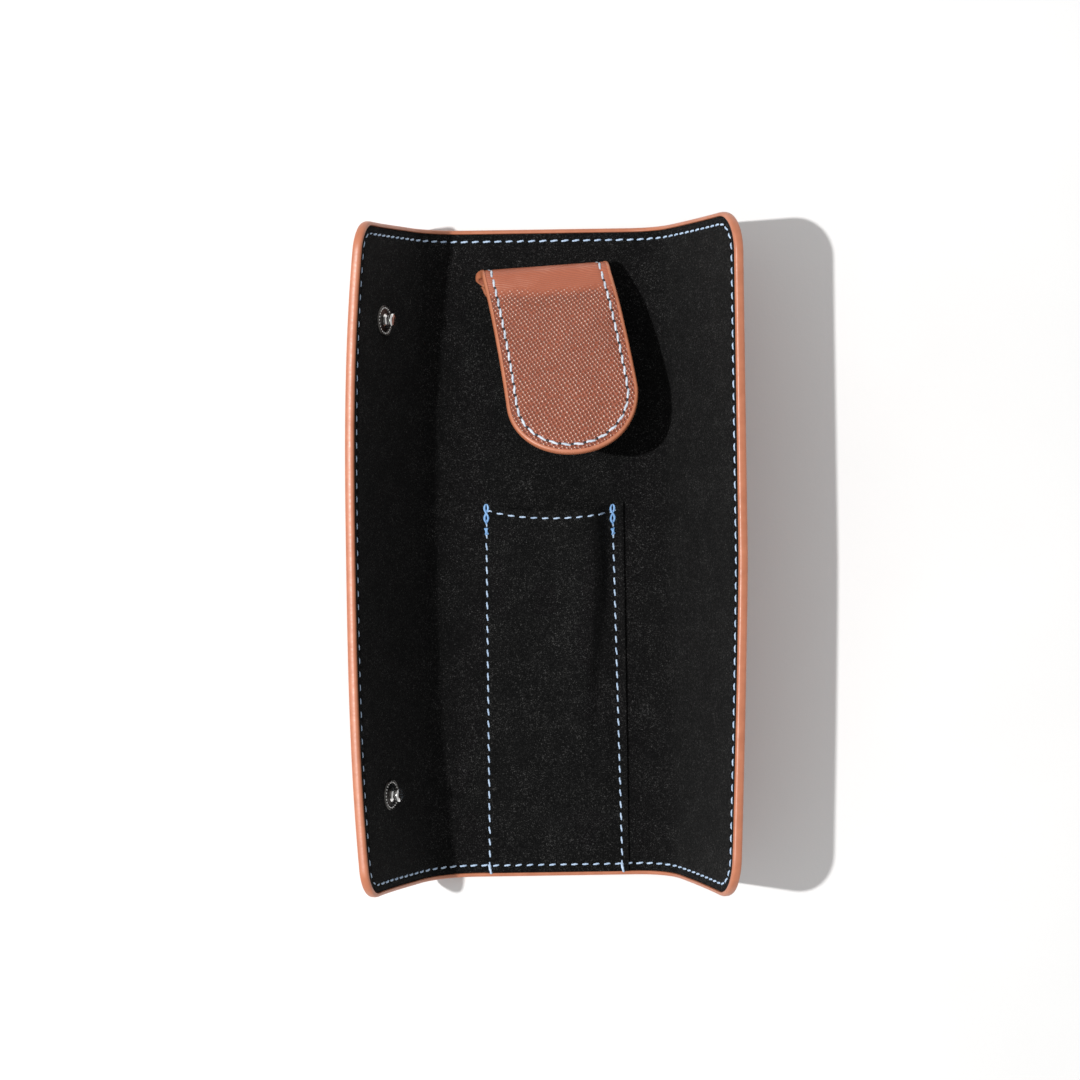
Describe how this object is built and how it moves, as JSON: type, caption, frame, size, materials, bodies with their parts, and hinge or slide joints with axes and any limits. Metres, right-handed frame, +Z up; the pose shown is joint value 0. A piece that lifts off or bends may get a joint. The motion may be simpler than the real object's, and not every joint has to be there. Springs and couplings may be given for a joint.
{
  "type": "pocket watch travel pouch",
  "caption": "Opened leather travel pouch for a pocket watch: flat base, two folding side flaps with snaps, rolled keeper tab and a ribbon pocket, lined in black microsuede.",
  "frame": {"origin": "centre of the base's underside, midway between the first fold lines and the two ends", "axes": "+Y along the fold lines towards the keeper tab's fold, +Z up from the base, +X towards the flap with the snap sockets"},
  "size_m": [0.1097, 0.192, 0.0531],
  "materials": {
    "tan_leather": "cross-grain embossed, satin",
    "edge_paint": "smooth painted leather edge, semi-gloss",
    "black_microsuede": "matte microsuede",
    "board": "bonded fibre board",
    "thread": "waxed pale blue thread",
    "bartack_thread": "light blue thread",
    "snap_metal": "polished nickel plate",
    "spring_wire": "spring steel wire"
  },
  "bodies": {
    "base": {"base_leather": "tan_leather", "base_board": "board", "base_lining": "black_microsuede", "base_edge_paint": "edge_paint", "base_seam_thread": "thread", "strap_pocket": "black_microsuede", "pocket_thread": "thread", "pocket_bartacks": "bartack_thread", "tab_leg": "tan_leather", "tab_leg_thread": "thread"},
    "left_lower_wall": {"left_lower_wall_leather": "tan_leather", "left_lower_wall_interlining": "board", "left_lower_wall_lining": "black_microsuede", "left_lower_wall_edge_paint": "edge_paint", "left_lower_wall_seam_thread": "thread"},
    "left_upper_wall": {"left_upper_wall_leather": "tan_leather", "left_upper_wall_interlining": "board", "left_upper_wall_lining": "black_microsuede", "left_upper_wall_edge_paint": "edge_paint", "left_upper_wall_seam_thread": "thread"},
    "left_flap": {"left_flap_leather": "tan_leather", "left_flap_board": "board", "left_flap_lining": "black_microsuede", "left_flap_edge_paint": "edge_paint", "left_flap_seam_thread": "thread", "snap_studs": "snap_metal", "stud_rivets": "snap_metal"},
    "right_lower_wall": {"right_lower_wall_leather": "tan_leather", "right_lower_wall_interlining": "board", "right_lower_wall_lining": "black_microsuede", "right_lower_wall_edge_paint": "edge_paint", "right_lower_wall_seam_thread": "thread"},
    "right_upper_wall": {"right_upper_wall_leather": "tan_leather", "right_upper_wall_interlining": "board", "right_upper_wall_lining": "black_microsuede", "right_upper_wall_edge_paint": "edge_paint", "right_upper_wall_seam_thread": "thread"},
    "right_flap": {"right_flap_leather": "tan_leather", "right_flap_board": "board", "right_flap_lining": "black_microsuede", "right_flap_edge_paint": "edge_paint", "right_flap_seam_thread": "thread", "snap_sockets": "snap_metal", "socket_springs": "spring_wire", "socket_caps": "snap_metal"},
    "tab": {"tab_fold": "tan_leather", "tab_leather": "tan_leather", "tab_backing": "tan_leather", "tab_edge_paint": "edge_paint", "tab_thread": "thread"}
  },
  "joints": [
    {"name": "left_base_fold", "type": "hinge", "parent": "base", "child": "left_lower_wall", "pos_m": [-0.024, 0, 0.00125], "axis": [0, 1, 0], "range_deg": [-22, 38], "stiffness_Nm_per_rad": 0.3},
    {"name": "left_wall_fold", "type": "hinge", "parent": "left_lower_wall", "child": "left_upper_wall", "pos_m": [-0.03417, 0, 0.00536], "axis": [0, 1, 0], "range_deg": [-22, 38], "stiffness_Nm_per_rad": 0.3},
    {"name": "left_flap_fold", "type": "hinge", "parent": "left_upper_wall", "child": "left_flap", "pos_m": [-0.04206, 0, 0.01298], "axis": [0, 1, 0], "range_deg": [-22, 38], "stiffness_Nm_per_rad": 0.25},
    {"name": "right_base_fold", "type": "hinge", "parent": "base", "child": "right_lower_wall", "pos_m": [0.024, 0, 0.00125], "axis": [0, -1, 0], "range_deg": [-28, 32], "stiffness_Nm_per_rad": 0.3},
    {"name": "right_wall_fold", "type": "hinge", "parent": "right_lower_wall", "child": "right_upper_wall", "pos_m": [0.03093, 0, 0.00494], "axis": [0, -1, 0], "range_deg": [-24, 36], "stiffness_Nm_per_rad": 0.3},
    {"name": "right_flap_fold", "type": "hinge", "parent": "right_upper_wall", "child": "right_flap", "pos_m": [0.03576, 0, 0.01112], "axis": [0, -1, 0], "range_deg": [-18.5, 41.5], "stiffness_Nm_per_rad": 0.25},
    {"name": "tab_hinge", "type": "hinge", "parent": "base", "child": "tab", "pos_m": [-0.0012, 0.0796, 0.00712], "axis": [0.9989, 0.0471, 0], "range_deg": [-95, 23], "stiffness_Nm_per_rad": 0.04, "deforming": ["tab_fold"]}
  ]
}
